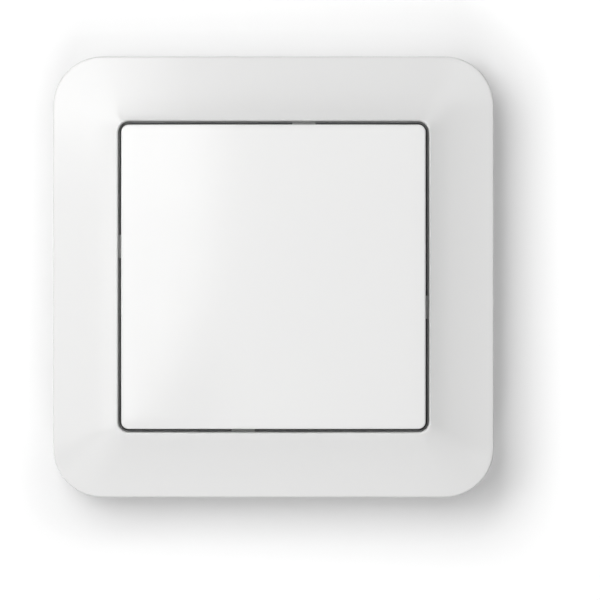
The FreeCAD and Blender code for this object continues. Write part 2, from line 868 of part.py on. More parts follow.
def bent_lead(x, y, side, low, height):
    """One lead: out of the body at half height, down, and out along the board."""
    mid = low + height / 2
    step = lead_reach / 2
    profile = [
        Vector(0, -side * lead_thickness, mid - low),
        Vector(0, side * step, mid - low),
        Vector(0, side * step, lead_thickness),
        Vector(0, side * lead_reach, lead_thickness),
        Vector(0, side * lead_reach, 0),
        Vector(0, side * (step - lead_thickness), 0),
        Vector(0, side * (step - lead_thickness), mid - low - lead_thickness),
        Vector(0, -side * lead_thickness, mid - low - lead_thickness),
    ]
    return outline_prism(profile, Vector(x - lead_width / 2, y, low), Vector(lead_width, 0, 0))


def crystal():
    """The crystal: a ceramic base with a slightly smaller metal lid."""
    width, length, height = crystal_size
    low = board_front + solder
    base = block(*crystal_place, width, length, low, low + height / 2)
    inset = 2 * crystal_lid_inset
    lid = block(*crystal_place, width - inset, length - inset, low + height / 2, low + height)
    return join([base, lid])


def storage_capacitor():
    """The moulded capacitor across the cell, with a terminal at each end."""
    width, length, height = capacitor_size
    x, y = capacitor_place
    low = board_front + solder
    body = block(x, y, width, length, low + lead_thickness, low + height)
    ends = []
    for side in (-1, 1):
        middle = x + side * (width / 2 - capacitor_terminal / 2 + lead_thickness / 2)
        reach = capacitor_terminal + lead_thickness
        ends.append(block(middle, y, reach, length * 0.6, low, low + height / 2))
    return join([body] + ends)


def chip_components():
    """The small chip resistors and capacitors, as separate solids of one kind."""
    width, length, height = chip_part_size
    low = board_front + solder
    parts = [block(x, y, width, length, low, low + height) for x, y in chip_part_places]
    return Part.makeCompound(parts)


def status_led():
    """The light for pairing, under its window in the carrier."""
    width, length, height = led_size
    low = board_front + solder
    body = block(*led_place, width, length, low, low + height)
    inset = 2 * led_lens_inset
    lens_top = low + height + led_lens_height
    lens = block(*led_place, width - inset, length - inset, low + height, lens_top)
    return join([body, lens])


def sheet_antenna():
    """The antenna: a bar of sheet on three legs, two of them close together at its fed end."""
    low = board_front + 0.01
    leg_top = board_front + antenna_rise
    left = -antenna_span / 2
    right = antenna_span / 2
    legs = (left, left + antenna_leg_width + antenna_leg_gap, right - antenna_leg_width)
    profile = []
    for start in legs:
        end = start + antenna_leg_width
        profile += [(start, leg_top), (start, low), (end, low), (end, leg_top)]
    profile += [(right, leg_top + antenna_bar), (left, leg_top + antenna_bar)]
    profile = [point for number, point in enumerate(profile) if number not in (0, len(profile) - 3)]
    points = [Vector(x, 0, z) for x, z in profile]
    y = board_side / 2 - antenna_edge
    return outline_prism(points, Vector(0, y, 0), Vector(0, antenna_thickness, 0))


def pairing_switch_base():
    """The moulded base of the pairing switch, with a square well for its button."""
    low = board_front + solder
    top = low + pairing_base_height
    base = block(*pairing_place, pairing_side, pairing_side, low, top)
    well_side = pairing_flange_side + 2 * pairing_stem_play
    well_low = top - pairing_flange - pairing_travel - pairing_stem_play
    return base.cut(block(*pairing_place, well_side, well_side, well_low, top))


def pairing_switch_cover():
    """The thin metal cover over the base, with a hole for the button."""
    low = board_front + solder + pairing_base_height
    side = pairing_side - 2 * pairing_cover_inset
    cover = block(*pairing_place, side, side, low, low + pairing_cover)
    return cover.cut(post(*pairing_place, pairing_stem_radius + pairing_stem_play, 0, low + overshoot))


def pairing_button():
    """The pairing switch's button: a round stem on a square flange that the cover keeps in."""
    flange_top_height = board_front + solder + pairing_base_height - pairing_stem_play / 2
    flange_low_height = flange_top_height - pairing_flange
    side = pairing_flange_side
    flange = block(*pairing_place, side, side, flange_low_height, flange_top_height)
    stem_top = carrier_front - pairing_stem_recess
    stem = post(*pairing_place, pairing_stem_radius, flange_low_height, stem_top)
    return join([flange, stem])


def adhesive_pads():
    """Four foam pads, flush with the back of the wall plate."""
    return Part.makeCompound([pad_block(x, y, 0) for x, y in pad_places()])


def stand_up(shape):
    """Turns a piece from the drawing board to the wall: its front then looks along -y."""
    copy = shape.copy()
    copy.rotate(Vector(0, 0, 0), Vector(1, 0, 0), 90)
    return copy


pieces = {
    "wall_plate": wall_plate(),
    "adhesive_pads": adhesive_pads(),
    "cover_frame": cover_frame(),
    "rear_shell": rear_shell(),
    "carrier_plate": carrier_plate(),
    "rocker": rocker(),
    "key_plunger_top": key_plunger(1),
    "key_plunger_bottom": key_plunger(-1),
    "contact_leaf_top": contact_leaf(1),
    "contact_leaf_bottom": contact_leaf(-1),
    "circuit_board": circuit_board(),
    "coin_cell": coin_cell(),
    "battery_positive_clip": battery_positive_clip(),
    "battery_negative_spring": battery_negative_spring(),
    "radio_chip": radio_chip(),
    "controller_chip": controller_chip(),
    "crystal": crystal(),
    "storage_capacitor": storage_capacitor(),
    "chip_components": chip_components(),
    "status_led": status_led(),
    "sheet_antenna": sheet_antenna(),
    "pairing_switch_base": pairing_switch_base(),
    "pairing_switch_cover": pairing_switch_cover(),
    "pairing_button": pairing_button(),
}

os.makedirs("parts", exist_ok=True)
for name, shape in pieces.items():
    placed = stand_up(shape)
    placed.exportStep("parts/" + name + ".step")
    volume = round(placed.Volume, 2)
    print(name, "solids", len(placed.Solids), "valid", placed.isValid(), "volume", volume)
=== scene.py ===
import bmesh
import bpy
import json
import math
from mathutils import Matrix, Vector

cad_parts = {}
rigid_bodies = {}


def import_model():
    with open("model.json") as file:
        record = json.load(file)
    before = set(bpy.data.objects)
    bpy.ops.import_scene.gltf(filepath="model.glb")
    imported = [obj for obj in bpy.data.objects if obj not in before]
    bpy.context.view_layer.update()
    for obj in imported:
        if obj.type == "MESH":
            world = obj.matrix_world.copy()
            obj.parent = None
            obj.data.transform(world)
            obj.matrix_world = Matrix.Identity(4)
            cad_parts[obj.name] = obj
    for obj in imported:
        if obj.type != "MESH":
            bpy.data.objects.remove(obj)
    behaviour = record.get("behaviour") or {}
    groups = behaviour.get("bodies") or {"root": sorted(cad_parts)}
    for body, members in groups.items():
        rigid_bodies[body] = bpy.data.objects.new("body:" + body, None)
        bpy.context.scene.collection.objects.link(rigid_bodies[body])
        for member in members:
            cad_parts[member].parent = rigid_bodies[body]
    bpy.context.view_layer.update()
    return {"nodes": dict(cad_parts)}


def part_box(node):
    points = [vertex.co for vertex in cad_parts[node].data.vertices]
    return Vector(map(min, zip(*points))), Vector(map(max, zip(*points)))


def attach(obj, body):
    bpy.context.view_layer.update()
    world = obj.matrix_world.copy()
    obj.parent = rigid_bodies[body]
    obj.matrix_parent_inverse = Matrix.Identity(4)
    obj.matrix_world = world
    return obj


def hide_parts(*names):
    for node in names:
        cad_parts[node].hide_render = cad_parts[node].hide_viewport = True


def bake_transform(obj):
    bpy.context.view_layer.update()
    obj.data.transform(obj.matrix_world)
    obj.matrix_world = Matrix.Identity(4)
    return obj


# Wireless wall switch: a dished glossy cover frame round one big rocker, on a white wall.
# The wall is the plane y = 0, the face looks along -y and z is up. Sizes are in millimetres,
# unless a note says metres, and the meshes get them in metres. "depth" is how far something
# stands out from the wall.

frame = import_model()
nodes = frame["nodes"]
mm = 0.001
slack = 0.1  # tells one end of a block from its other end
print("stage 1: frame loaded,", len(nodes), "nodes")


def nodeSpan(name):
    # half the width, and how far the near side and the back stand out from the wall
    low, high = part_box(name)
    return {"half": high.x / mm, "near": -low.y / mm, "back": -high.y / mm}


def place(x, depth, z):
    return Vector((x * mm, -depth * mm, z * mm))


def depthOf(vert):
    return -vert.co.y / mm


def setInput(tree, socket, value):
    # another node's output is linked, and a plain value is set
    if isinstance(value, bpy.types.NodeSocket):
        tree.links.new(value, socket)
    else:
        socket.default_value = value


def addNoise(tree, vector, scale, detail, roughness):
    noise = tree.nodes.new("ShaderNodeTexNoise")
    for label, value in (("Vector", vector), ("Scale", scale), ("Detail", detail),
                         ("Roughness", roughness)):
        setInput(tree, noise.inputs[label], value)
    return noise.outputs["Fac"]


def addRange(tree, value, span, low=0.0, high=1.0, shape="LINEAR"):
    # stretches the span of a value to low and high
    spread = tree.nodes.new("ShaderNodeMapRange")
    spread.interpolation_type = shape
    for label, part in (("Value", value), ("From Min", span[0]), ("From Max", span[1]),
                        ("To Min", low), ("To Max", high)):
        setInput(tree, spread.inputs[label], part)
    return spread.outputs["Result"]


def addMath(tree, operation, first, second):
    node = tree.nodes.new("ShaderNodeMath")
    node.operation = operation
    for socket, value in zip(node.inputs, (first, second)):
        setInput(tree, socket, value)
    return node.outputs["Value"]


def addMix(tree, factor, first, second):
    mix = tree.nodes.new("ShaderNodeMix")
    mix.data_type = "RGBA"
    for label, value in (("Factor", factor), ("A", first), ("B", second)):
        setInput(tree, mix.inputs[label], value)
    return mix.outputs["Result"]


# two node groups that several finishes share; each of their outputs varies over the surface
noiseSpan = (0.3, 0.7)  # where most of a noise's values lie
# scale, detail and roughness of each noise; the grain takes its scale from the finish
mouldedLook = {"flow": (45.0, 3.0, 0.55), "patch": (160.0, 4.0, 0.6), "grain": (2.0, 0.5)}
sheetLook = {
    "turn": 0.45, "stretch": (220.0, 900.0, 5200.0),
    "scratches": (1.0, 5.0, 0.65), "stain": (260.0, 4.0, 0.6),
}


def newGroup(name, tints, numbers):
    group = bpy.data.node_groups.new(name, "ShaderNodeTree")
    sockets = [(label, "INPUT", "NodeSocketColor") for label in tints]
    sockets += [(label, "INPUT", "NodeSocketFloat") for label in numbers]
    sockets += [("Color", "OUTPUT", "NodeSocketColor"), ("Roughness", "OUTPUT", "NodeSocketFloat"),
                ("Height", "OUTPUT", "NodeSocketFloat")]
    for label, side, kind in sockets:
        group.interface.new_socket(name=label, in_out=side, socket_type=kind)
    return group, group.nodes.new("NodeGroupInput").outputs


def closeGroup(group, colour, roughness, height):
    end = group.nodes.new("NodeGroupOutput")
    for label, value in (("Color", colour), ("Roughness", roughness), ("Height", height)):
        group.links.new(value, end.inputs[label])


def makeMouldedGroup():
    # moulded plastic: broad flow marks in the tint, patchy gloss, fine tool grain in the height
    group, given = newGroup(
        "mouldedPlastic", ("Tint", "Flow Tint"), ("Smooth", "Dull", "Grain Scale"))
    spot = group.nodes.new("ShaderNodeTexCoord").outputs["Object"]
    flow = addNoise(group, spot, *mouldedLook["flow"])
    tint = addMix(group, flow, given["Tint"], given["Flow Tint"])
    patch = addNoise(group, spot, *mouldedLook["patch"])
    gloss = addRange(group, patch, noiseSpan, given["Smooth"], given["Dull"])
    grain = addNoise(group, spot, given["Grain Scale"], *mouldedLook["grain"])
    closeGroup(group, tint, gloss, grain)
    return group


def makeSheetGroup():
    # plated or rolled sheet: short scratches one way and soft stains
    group, given = newGroup("rolledSheet", ("Tint", "Stain Tint"), ("Smooth", "Dull"))
    spot = group.nodes.new("ShaderNodeTexCoord").outputs["Object"]
    turned = group.nodes.new("ShaderNodeMapping")
    turned.inputs["Rotation"].default_value = (0.0, sheetLook["turn"], 0.0)
    turned.inputs["Scale"].default_value = sheetLook["stretch"]
    group.links.new(spot, turned.inputs["Vector"])
    scratches = addNoise(group, turned.outputs["Vector"], *sheetLook["scratches"])
    stain = addNoise(group, spot, *sheetLook["stain"])
    tint = addMix(group, stain, given["Tint"], given["Stain Tint"])
    gloss = addRange(group, scratches, noiseSpan, given["Smooth"], given["Dull"])
    closeGroup(group, tint, gloss, scratches)
    return group


moulded = makeMouldedGroup()
rolled = makeSheetGroup()


def newFinish(name):
    finish = bpy.data.materials.new(name)
    finish.use_nodes = True
    tree = finish.node_tree
    tree.nodes.clear()
    shader = tree.nodes.new("ShaderNodeBsdfPrincipled")
    output = tree.nodes.new("ShaderNodeOutputMaterial")
    tree.links.new(shader.outputs["BSDF"], output.inputs["Surface"])
    return finish, tree, shader


def addBump(tree, shader, height, look):
    bump = tree.nodes.new("ShaderNodeBump")
    bump.inputs["Strength"].default_value = look["bump"]
    bump.inputs["Distance"].default_value = look["bumpDepth"] * mm
    tree.links.new(height, bump.inputs["Height"])
    tree.links.new(bump.outputs["Normal"], shader.inputs["Normal"])


groupLabels = {
    "tint": "Tint", "flowTint": "Flow Tint", "stainTint": "Stain Tint",
    "smooth": "Smooth", "dull": "Dull", "grainScale": "Grain Scale",
}


def makeGroupFinish(name, group, look, metallic):
    finish, tree, shader = newFinish(name)
    detail = tree.nodes.new("ShaderNodeGroup")
    detail.node_tree = group
    for key, label in groupLabels.items():
        if key in look:
            value = look[key]
            if isinstance(value, tuple):
                value = (*value, 1.0)
            detail.inputs[label].default_value = value
    tree.links.new(detail.outputs["Color"], shader.inputs["Base Color"])
    tree.links.new(detail.outputs["Roughness"], shader.inputs["Roughness"])
    addBump(tree, shader, detail.outputs["Height"], look)
    shader.inputs["Metallic"].default_value = metallic
    return finish


plasticLooks = {
    # the frame's copy of the gloss white is darker than the rocker's: painted shade that darkens
    # the frame's sloped bands
    "glossWhiteFrame": dict(
        tint=(0.836, 0.836, 0.831), flowTint=(0.822, 0.822, 0.819), smooth=0.1, dull=0.14,
        grainScale=900.0, bump=0.08, bumpDepth=0.02),
    "glossWhiteRocker": dict(
        tint=(0.868, 0.868, 0.863), flowTint=(0.852, 0.852, 0.849), smooth=0.1, dull=0.14,
        grainScale=800.0, bump=0.08, bumpDepth=0.02),
    "satinPlateWhite": dict(
        tint=(0.8, 0.8, 0.785), flowTint=(0.77, 0.77, 0.755), smooth=0.42, dull=0.55,
        grainScale=3200.0, bump=0.35, bumpDepth=0.03),
    "texturedShell": dict(
        tint=(0.055, 0.058, 0.062), flowTint=(0.068, 0.071, 0.076), smooth=0.48, dull=0.62,
        grainScale=3600.0, bump=0.5, bumpDepth=0.04),
    "texturedCarrier": dict(
        tint=(0.07, 0.072, 0.075), flowTint=(0.085, 0.087, 0.09), smooth=0.46, dull=0.6,
        grainScale=3400.0, bump=0.45, bumpDepth=0.04),
    "acetalPlunger": dict(
        tint=(0.72, 0.71, 0.66), flowTint=(0.66, 0.65, 0.6), smooth=0.36, dull=0.48,
        grainScale=2600.0, bump=0.2, bumpDepth=0.02),
    "chipEpoxy": dict(
        tint=(0.018, 0.018, 0.02), flowTint=(0.026, 0.026, 0.028), smooth=0.38, dull=0.52,
        grainScale=7000.0, bump=0.4, bumpDepth=0.015),
    "chipCeramic": dict(
        tint=(0.42, 0.33, 0.23), flowTint=(0.36, 0.28, 0.19), smooth=0.35, dull=0.5,
        grainScale=9000.0, bump=0.25, bumpDepth=0.01),
    "capacitorEpoxy": dict(
        tint=(0.62, 0.35, 0.05), flowTint=(0.55, 0.3, 0.04), smooth=0.25, dull=0.36,
        grainScale=5000.0, bump=0.2, bumpDepth=0.01),
    "lampEpoxy": dict(
        tint=(0.78, 0.74, 0.52), flowTint=(0.74, 0.7, 0.46), smooth=0.12, dull=0.2,
        grainScale=4000.0, bump=0.1, bumpDepth=0.01),
    "buttonGrey": dict(
        tint=(0.2, 0.2, 0.2), flowTint=(0.24, 0.24, 0.24), smooth=0.34, dull=0.46,
        grainScale=4200.0, bump=0.25, bumpDepth=0.015),
}
metalLooks = {
    "nickelCan": dict(
        tint=(0.72, 0.715, 0.69), stainTint=(0.6, 0.595, 0.57), smooth=0.18, dull=0.36,
        bump=0.12, bumpDepth=0.01),
    "nickelSheet": dict(
        tint=(0.7, 0.69, 0.66), stainTint=(0.58, 0.57, 0.54), smooth=0.2, dull=0.4,
        bump=0.15, bumpDepth=0.01),
    "springBrass": dict(
        tint=(0.74, 0.55, 0.24), stainTint=(0.6, 0.42, 0.17), smooth=0.2, dull=0.38,
        bump=0.15, bumpDepth=0.01),
}
finishes = {}
for looks, group, metallic in ((plasticLooks, moulded, 0.0), (metalLooks, rolled, 1.0)):
    for name, look in looks.items():
        finishes[name] = makeGroupFinish(name, group, look, metallic)

foamLook = {
    "tint": (0.7, 0.7, 0.67, 1.0), "cellTint": (0.5, 0.5, 0.47, 1.0), "cells": 2600.0,
    "roughness": 0.85, "bump": 0.6, "bumpDepth": 0.08,
}
# the tracks lie between pads at this pitch; their fold and edges are shares of it
boardLook = {
    "mask": (0.012, 0.11, 0.045, 1.0), "trace": (0.02, 0.17, 0.07, 1.0),
    "pitch": 2.4, "trackFold": 0.16, "trackEdge": (0.06, 0.09),
    "roughness": 0.28, "bump": 0.4, "bumpDepth": 0.02,
}


def addCells(tree, scale):
    spot = tree.nodes.new("ShaderNodeTexCoord")
    cells = tree.nodes.new("ShaderNodeTexVoronoi")
    cells.inputs["Scale"].default_value = scale
    tree.links.new(spot.outputs["Object"], cells.inputs["Vector"])
    return cells


def addPattern(tree, shader, look, mask, low, high):
    # colour and relief from one mask
    tree.links.new(addMix(tree, mask, look[low], look[high]), shader.inputs["Base Color"])
    addBump(tree, shader, mask, look)
    shader.inputs["Roughness"].default_value = look["roughness"]


def makeFoamFinish():
    finish, tree, shader = newFinish("tapeFoam")
    cells = addCells(tree, foamLook["cells"])
    addPattern(tree, shader, foamLook, cells.outputs["Distance"], "cellTint", "tint")
    return finish


def makeBoardFinish():
    # solder mask, with copper tracks that show through it as a lighter green
    finish, tree, shader = newFinish("solderMask")
    cells = addCells(tree, 1 / (boardLook["pitch"] * mm))
    cells.distance = "CHEBYCHEV"
    tracks = addMath(tree, "PINGPONG", cells.outputs["Distance"], boardLook["trackFold"])
    edge = addRange(tree, tracks, boardLook["trackEdge"])
    addPattern(tree, shader, boardLook, edge, "mask", "trace")
    return finish


finishes["tapeFoam"] = makeFoamFinish()
finishes["solderMask"] = makeBoardFinish()
print("stage 2:", len(finishes), "finishes")

# steps along a side and round a corner of every rounded square ring
ringShape = {"sideSteps": 14, "cornerSteps": 14}


def linked(verts, kind):
    # the edges or faces that some vertices belong to, each once
    return list(dict.fromkeys(item for vert in verts for item in getattr(vert, kind)))


def squarePoint(step, half, radius):
    # the place of a numbered vertex on a square outline with rounded corners
    perSide = ringShape["sideSteps"] + ringShape["cornerSteps"]
    quarter, along = divmod(step, perSide)
    flat = half - radius
    if along < ringShape["sideSteps"]:
        point = Vector((half, flat * (2 * along / ringShape["sideSteps"] - 1)))
    else:
        angle = math.pi / 2 * (along - ringShape["sideSteps"]) / ringShape["cornerSteps"]
        point = Vector((flat + radius * math.cos(angle), flat + radius * math.sin(angle)))
    return Matrix.Rotation(math.pi / 2 * quarter, 2) @ point


def settleRing(verts, number, ring):
    half, radius, depth = ring
    for vert in verts:
        x, z = squarePoint(vert[number], half, radius)
        vert.co = place(x, depth(x, z) if callable(depth) else depth, z)


def sweepRings(bm, rings, closed):
    # rings run outwards from the first one, each drawn out of the one before it
    number = bm.verts.layers.int.new("step")
    count = 4 * (ringShape["sideSteps"] + ringShape["cornerSteps"])
    verts = bmesh.ops.create_circle(bm, segments=count, radius=1.0)["verts"]
    for step, vert in enumerate(verts):
        vert[number] = step
    settleRing(verts, number, rings[0])
    edges = first = linked(verts, "link_edges")
    for ring in rings[1:]:
        drawn = bmesh.ops.extrude_edge_only(bm, edges=edges)["geom"]
        fresh = {item for item in drawn if isinstance(item, bmesh.types.BMVert)}
        edges = [item for item in drawn if isinstance(item, bmesh.types.BMEdge)
                 and item.verts[0] in fresh and item.verts[1] in fresh]
        settleRing(fresh, number, ring)
    if closed:
        bmesh.ops.bridge_loops(bm, edges=first + edges)
    else:
        bmesh.ops.contextual_create(bm, geom=first)
        bmesh.ops.contextual_create(bm, geom=edges)
    bmesh.ops.recalc_face_normals(bm, faces=bm.faces[:])


def addBlock(bm, low, high):
    # a box between two corners given as x, depth, z
    made = bmesh.ops.create_cube(bm, size=1.0)["verts"]
    middle = [(a + b) / 2 for a, b in zip(low, high)]
    size = [b - a for a, b in zip(low, high)]
    for vert in made:
        vert.co = place(*(m + s * c for m, s, c in zip(middle, size, vert.co)))
    bmesh.ops.recalc_face_normals(bm, faces=linked(made, "link_faces"))
    return made


def finishPiece(bm, name, node, finish, body=None, sharpAngle=32.0):
    for face in bm.faces:
        face.smooth = True
    for edge in bm.edges:
        if len(edge.link_faces) == 2:
            edge.smooth = edge.calc_face_angle(0.0) < math.radians(sharpAngle)
    mesh = bpy.data.meshes.new(name)
    bm.to_mesh(mesh)
    bm.free()
    piece = bpy.data.objects.new(name, mesh)
    bpy.context.scene.collection.objects.link(piece)
    mesh.materials.append(finishes[finish])
    if body:
        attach(piece, body)
    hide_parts(node)
    return piece


frameSpan = nodeSpan("cover_frame")
coverLook = {
    "half": frameSpan["half"], "cornerRadius": 9.0, "wall": 1.6,
    "openingHalf": 28.05, "openingRadius": 1.9,
    "crestDepth": frameSpan["near"], "lowDepth": frameSpan["back"],
    "slopeFall": 2.4, "dishFall": 1.2, "dishPower": 3.0,
    "lipReach": 0.34, "lipDrop": 1.4, "lipSteps": 9,
    "rimRound": 0.38, "lowRound": 0.25, "lowRoundMiddle": 0.3,
    "slopeSteps": 30, "roundSteps": 6, "undersideSteps": 10, "skirtWall": 1.25,
    "ledgeWidth": 2.0, "ledgeThickness": 1.2, "ledgeDepth": 8.2252, "ledgeCorner": 0.25,
    "ribThickness": 1.0, "ribPlaces": (-18.0, 18.0), "ribLow": 3.25,
    "lugOffset": 5.5, "lugWidth": 4.2, "lugReach": 0.4, "lugLow": 9.4752, "lugHeight": 0.75,
}


def slopeDepth(share):
    # depth of the dished face, at a share of the way from the opening to the rim
    look = coverLook
    dish = look["dishFall"] * (1 - (1 - share) ** look["dishPower"])
    return look["crestDepth"] - look["slopeFall"] * share - dish


def coverRings():
    look = coverLook
    opening, half = look["openingHalf"], look["half"]
    border = half - opening
    startShare = look["lipReach"] / border
    lipTop = slopeDepth(startShare)
    lipLow = look["crestDepth"] - look["lipDrop"]
    rings = [(opening, look["openingRadius"], lipLow)]
    for step in range(1, look["lipSteps"]):  # steep lip of the opening, a quarter of an ellipse
        angle = math.pi / 2 * step / look["lipSteps"]
        out = look["lipReach"] * (1 - math.cos(angle))
        depth = lipLow + (lipTop - lipLow) * math.sin(angle)
        rings.append((opening + out, look["openingRadius"] + out, depth))
    rimAngle = math.atan(look["slopeFall"] / border)
    endShare = 1 - look["rimRound"] * (1 - math.sin(rimAngle)) / border
    gain = look["cornerRadius"] - look["openingRadius"]
    for step in range(look["slopeSteps"] + 1):
        share = startShare + (endShare - startShare) * step / look["slopeSteps"]
        radius = look["openingRadius"] + gain * share
        rings.append((opening + border * share, radius, slopeDepth(share)))
    lastHalf, lastRadius, lastDepth = rings[-1]
    centreDepth = lastDepth - look["rimRound"] * math.cos(rimAngle)
    for step in range(1, look["roundSteps"] + 1):  # round outer rim
        angle = rimAngle + (math.pi / 2 - rimAngle) * step / look["roundSteps"]
        ringHalf = half - look["rimRound"] * (1 - math.sin(angle))
        done = (ringHalf - lastHalf) / (half - lastHalf)
        radius = lastRadius + (look["cornerRadius"] - lastRadius) * done
        rings.append((ringHalf, radius, centreDepth + look["rimRound"] * math.cos(angle)))
    low, ease = look["lowDepth"], look["lowRound"]
    middle = ease * look["lowRoundMiddle"]
    for inset, rise in ((0.0, ease), (middle, middle), (ease, 0.0)):  # eased edge at the wall
        rings.append((half - inset, look["cornerRadius"] - inset, low + rise))
    innerHalf, innerRadius = half - look["wall"], look["cornerRadius"] - look["wall"]
    rings.append((innerHalf, innerRadius, low))
    rings.append((innerHalf, innerRadius, slopeDepth(1) - look["wall"] - ease))
    skirtHalf = opening + look["skirtWall"]
    skirtRadius = look["openingRadius"] + look["skirtWall"]
    for step in range(look["undersideSteps"], -1, -1):  # below the face, from rim to skirt
        done = step / look["undersideSteps"]
        ringHalf = skirtHalf + (innerHalf - ease - skirtHalf) * done
        radius = skirtRadius + (innerRadius - skirtRadius) * done
        share = (ringHalf - opening) / (border - look["wall"])
        rings.append((ringHalf, radius, slopeDepth(share) - look["wall"]))
    ledgeHalf, ledgeLow = opening - look["ledgeWidth"], look["ledgeDepth"] - look["ledgeThickness"]
    rings.append((skirtHalf, skirtRadius, ledgeLow))
    rings.append((ledgeHalf, look["ledgeCorner"], ledgeLow))
    rings.append((ledgeHalf, look["ledgeCorner"], look["ledgeDepth"]))
    rings.append((opening, look["openingRadius"], look["ledgeDepth"]))
    return rings


def addCoverDetails(bm):
    look = coverLook
    opening, half = look["openingHalf"], look["half"]
    skirtMiddle = opening + look["skirtWall"] / 2
    halfRib, halfLug = look["ribThickness"] / 2, look["lugWidth"] / 2
    for quarter in range(4):
        turn = Matrix.Rotation(math.pi / 2 * quarter, 4, "Y")
        for along in look["ribPlaces"]:  # ribs between the skirt and the rim
            made = addBlock(bm, (skirtMiddle, look["ribLow"], along - halfRib),
                            (half - look["wall"] / 2, look["crestDepth"], along + halfRib))
            for vert in made:
                if depthOf(vert) > look["ribLow"] + slack:
                    share = (vert.co.x / mm - opening) / (half - opening)
                    vert.co.y = -(slopeDepth(share) - look["wall"] / 2) * mm
            bmesh.ops.transform(bm, matrix=turn, verts=made)
        # the lug that laps over the carrier, with its upper inner edge sloped
        low = (opening - look["lugReach"], look["lugLow"], -look["lugOffset"] - halfLug)
        high = (skirtMiddle, look["lugLow"] + look["lugHeight"], -look["lugOffset"] + halfLug)
        made = addBlock(bm, low, high)
        for vert in made:
            if vert.co.x / mm < opening and depthOf(vert) > look["lugLow"] + slack:
                vert.co.y = -(look["lugLow"] + look["lugHeight"] / 2) * mm
        bmesh.ops.transform(bm, matrix=turn, verts=made)


def makeCover():
    bm = bmesh.new()
    sweepRings(bm, coverRings(), True)
    addCoverDetails(bm)
    finishPiece(bm, "coverFrameShell", "cover_frame", "glossWhiteFrame",
                "switch_body")


makeCover()
print("stage 3: cover frame")

rockerLook = {
    "half": nodeSpan("rocker")["half"], "cornerRadius": 1.35, "edgeDepth": 13.6309, "crown": 0.6,
    "edgeRound": 0.32, "skirtLow": 10.7309, "lowRound": 0.2,
    "wall": 1.6, "hollowHalf": 26.1, "hollowCorner": 0.2,
    "faceSteps": 16, "roundSteps": 6, "roofSteps": 6,
    "ribX": 23.0, "ribZ": 9.0, "ribThickness": 1.0, "ribLow": 11.4309,
    "ribReach": 0.7, "ribSink": 0.3,
    "pusherZ": 17.0, "pusherWidth": 4.0, "pusherThickness": 2.0, "pusherLow": 11.0778,
    "pusherRound": 0.35, "pusherSteps": 3,
    "pivotDepth": 10.9252, "clipX": 19.5, "clipLength": 3.0, "clipInner": 1.15, "clipOuter": 2.15,
    "clipMouth": 100.0, "clipSteps": 20, "webGap": 0.3, "webThickness": 1.0,
}


def crownDepth(x, z):
    look = rockerLook
    return look["edgeDepth"] + look["crown"] * (1 - (x * x + z * z) / (look["half"] ** 2))


def rockerRings():
    look = rockerLook
    half, edge = look["half"], look["edgeRound"]
    rings = []
    for step in range(1, look["faceSteps"] + 1):
        ringHalf = (half - edge) * step / look["faceSteps"]
        radius = (look["cornerRadius"] - edge) * step / look["faceSteps"]
        rings.append((ringHalf, radius, crownDepth))
    for step in range(1, look["roundSteps"] + 1):
        angle = math.pi / 2 * step / look["roundSteps"]
        out = edge * math.sin(angle)
        fall = edge * (1 - math.cos(angle))
        rings.append((half - edge + out, look["cornerRadius"] - edge + out,
                      lambda x, z, fall=fall: crownDepth(x, z) - fall))
    low, ease = look["skirtLow"], look["lowRound"]
    rings.append((half, look["cornerRadius"], low + ease))
    rings.append((half - ease, look["cornerRadius"] - ease, low))
    rings.append((look["hollowHalf"], look["hollowCorner"], low))

    def roofDepth(x, z):
        return crownDepth(x, z) - look["wall"]

    for step in range(look["roofSteps"], 0, -1):
        ringHalf = look["hollowHalf"] * step / look["roofSteps"]
        rings.append((ringHalf, look["hollowCorner"] * step / look["roofSteps"], roofDepth))
    return rings


def addRib(bm, low, high):
    # a block whose upper end follows the crown, inside the wall of the face
    look = rockerLook
    made = addBlock(bm, low, high)
    for vert in made:
        if depthOf(vert) > look["ribLow"] + slack:
            crown = crownDepth(vert.co.x / mm, vert.co.z / mm)
            vert.co.y = -(crown - look["wall"] / 2 - look["ribSink"]) * mm
    return made


def addRockerDetails(bm):
    look = rockerLook
    reach = look["hollowHalf"] + look["ribReach"]
    low, top = look["ribLow"], look["edgeDepth"] + look["crown"]
    halfRib = look["ribThickness"] / 2
    halfWidth, halfThick = look["pusherWidth"] / 2, look["pusherThickness"] / 2
    for side in (-1, 1):
        x, z = side * look["ribX"], side * look["ribZ"]
        addRib(bm, (x - halfRib, low, -reach), (x + halfRib, top, reach))
        addRib(bm, (-look["ribX"], low, z - halfRib), (look["ribX"], top, z + halfRib))
        z = side * look["pusherZ"]
        made = addRib(bm, (-halfWidth, look["pusherLow"], z - halfThick),
                      (halfWidth, top, z + halfThick))
        tip = [edge for edge in linked(made, "link_edges")
               if all(depthOf(end) < low for end in edge.verts)
               and abs(edge.verts[0].co.x - edge.verts[1].co.x) > mm]
        bmesh.ops.bevel(bm, geom=tip, offset=look["pusherRound"] * mm,
                        segments=look["pusherSteps"], profile=0.5, affect="EDGES", material=-1)
        addClip(bm, side)


